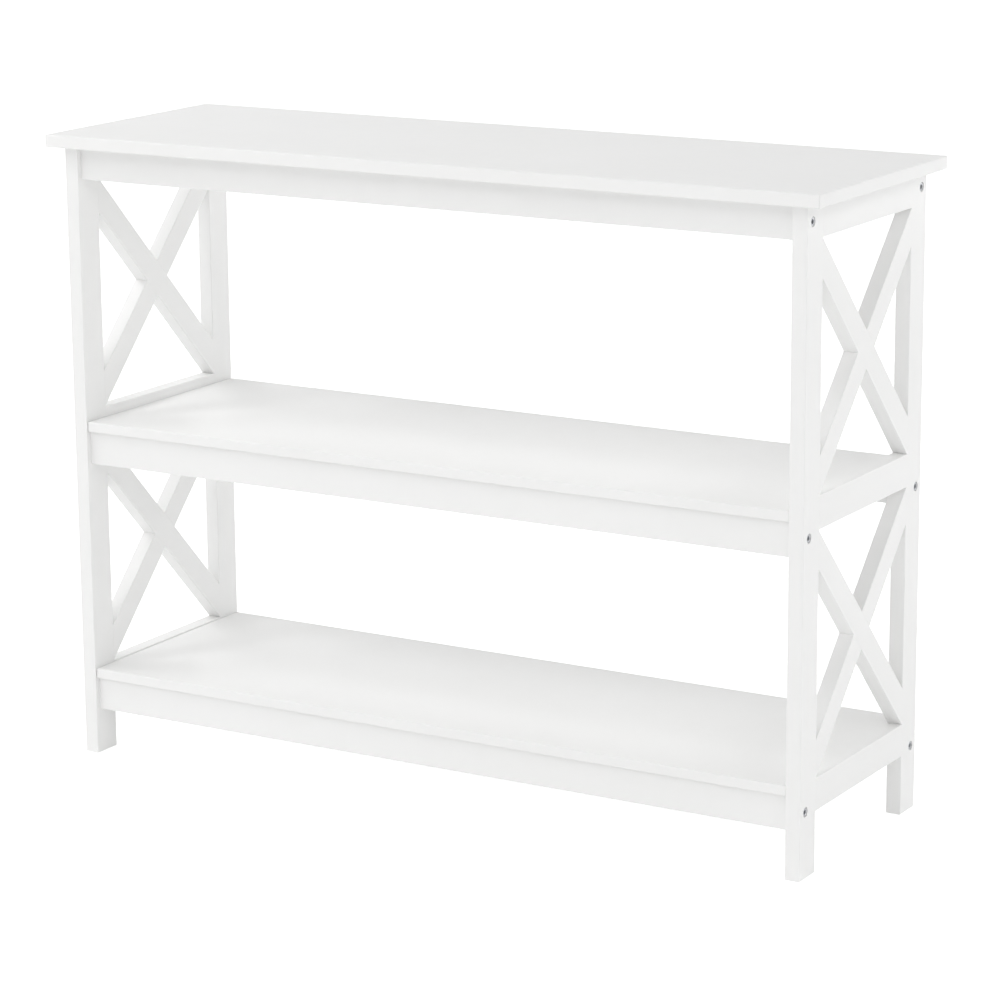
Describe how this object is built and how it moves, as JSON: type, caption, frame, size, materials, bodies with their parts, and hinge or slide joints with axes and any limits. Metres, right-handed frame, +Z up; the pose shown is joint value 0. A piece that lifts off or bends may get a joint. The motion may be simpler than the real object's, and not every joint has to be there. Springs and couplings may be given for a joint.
{
  "type": "console table",
  "caption": "Three-tier console table: overhanging top, two shelves on front and back aprons, and two end frames of square legs, rails and half-lapped crossed slats.",
  "frame": {"origin": "on the floor, at the middle of the four feet", "axes": "+X along the table to the right end, +Y from the front to the back, +Z up"},
  "size_m": [1, 0.325, 0.753],
  "materials": {
    "white_paint": "satin white paint over fibreboard",
    "zinc_steel": "bright zinc plate",
    "dowel_wood": "raw beech"
  },
  "bodies": {
    "root": {"back_bottom_apron": "white_paint", "back_middle_apron": "white_paint", "back_top_apron": "white_paint", "bottom_board_dowels": "dowel_wood", "bottom_shelf": "white_paint", "front_bottom_apron": "white_paint", "front_middle_apron": "white_paint", "front_top_apron": "white_paint", "left_apron_dowels": "dowel_wood", "left_back_leg": "white_paint", "left_barrel_nuts": "zinc_steel", "left_bottom_rail": "white_paint", "left_frame_bolts": "zinc_steel", "left_front_leg": "white_paint", "left_lower_falling_slat": "white_paint", "left_lower_rising_slat": "white_paint", "left_middle_rail": "white_paint", "left_rail_dowels": "dowel_wood", "left_slat_dowels": "dowel_wood", "left_top_rail": "white_paint", "left_upper_falling_slat": "white_paint", "left_upper_rising_slat": "white_paint", "middle_board_dowels": "dowel_wood", "middle_shelf": "white_paint", "right_apron_dowels": "dowel_wood", "right_back_leg": "white_paint", "right_barrel_nuts": "zinc_steel", "right_bottom_rail": "white_paint", "right_frame_bolts": "zinc_steel", "right_front_leg": "white_paint", "right_lower_falling_slat": "white_paint", "right_lower_rising_slat": "white_paint", "right_middle_rail": "white_paint", "right_rail_dowels": "dowel_wood", "right_slat_dowels": "dowel_wood", "right_top_rail": "white_paint", "right_upper_falling_slat": "white_paint", "right_upper_rising_slat": "white_paint", "top_board": "white_paint", "top_board_dowels": "dowel_wood"}
  },
  "joints": []
}
